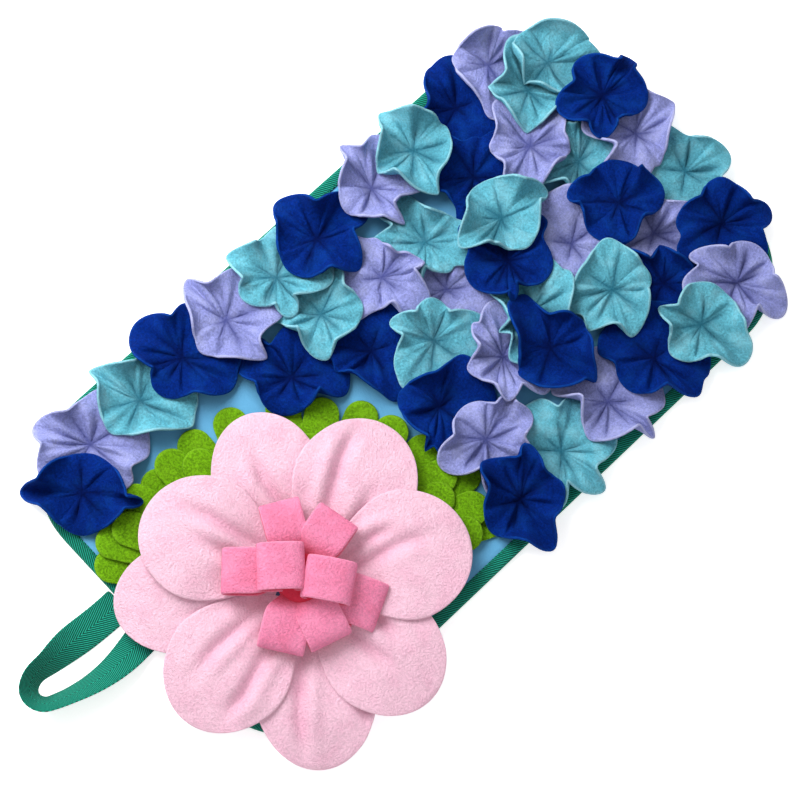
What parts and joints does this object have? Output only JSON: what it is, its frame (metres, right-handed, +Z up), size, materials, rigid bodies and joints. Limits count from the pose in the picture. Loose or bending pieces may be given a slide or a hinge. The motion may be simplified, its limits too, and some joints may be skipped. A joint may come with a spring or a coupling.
{
  "type": "snuffle mat",
  "caption": "Flat rectangular cloth mat with a taped edge, covered in gathered fleece rosettes and a large looped flower that hide dry treats, with a hanging loop.",
  "frame": {"origin": "middle of the underside, on the floor that the mat lies on", "axes": "+X across the mat, +Y along it towards the end without the flower, +Z up"},
  "size_m": [0.3435, 0.6537, 0.044],
  "materials": {
    "tape": "dark green twill tape",
    "base": "matt light blue cloth",
    "lavender": "lavender fleece",
    "aqua": "aqua fleece",
    "royal": "royal blue fleece",
    "petal": "pale pink fleece",
    "loop": "hot pink fleece",
    "leaf": "leaf green fleece"
  },
  "bodies": {
    "root": {"base_cloth": "base", "edge_binding": "tape", "hanging_loop": "tape", "leaf_collar_low": "leaf", "leaf_collar_mid": "leaf", "leaf_collar_top": "leaf", "rosette_01": "royal", "rosette_02": "lavender", "rosette_03": "aqua", "rosette_04": "royal", "rosette_05": "lavender", "rosette_06": "aqua", "rosette_07": "royal", "rosette_08": "lavender", "rosette_09": "aqua", "rosette_10": "royal", "rosette_11": "lavender", "rosette_12": "aqua", "rosette_13": "aqua", "rosette_14": "royal", "rosette_15": "lavender", "rosette_16": "aqua", "rosette_17": "royal", "rosette_18": "lavender", "rosette_19": "aqua", "rosette_20": "royal", "rosette_21": "lavender", "rosette_22": "aqua", "rosette_23": "royal", "rosette_24": "royal", "rosette_25": "lavender", "rosette_26": "aqua", "rosette_27": "royal", "rosette_28": "lavender", "rosette_29": "lavender", "rosette_30": "royal", "rosette_31": "aqua", "rosette_32": "aqua", "rosette_33": "aqua", "rosette_34": "lavender", "rosette_35": "royal", "rosette_36": "lavender", "rosette_37": "aqua", "rosette_38": "aqua", "rosette_39": "royal", "rosette_40": "royal", "rosette_41": "aqua", "rosette_42": "lavender", "rosette_43": "royal", "rosette_44": "royal", "rosette_45": "lavender", "petal_1": "petal", "petal_2": "petal", "petal_3": "petal", "petal_4": "petal", "petal_5": "petal", "petal_6": "petal", "petal_7": "petal", "petal_8": "petal", "centre_loops": "loop"}
  },
  "joints": []
}
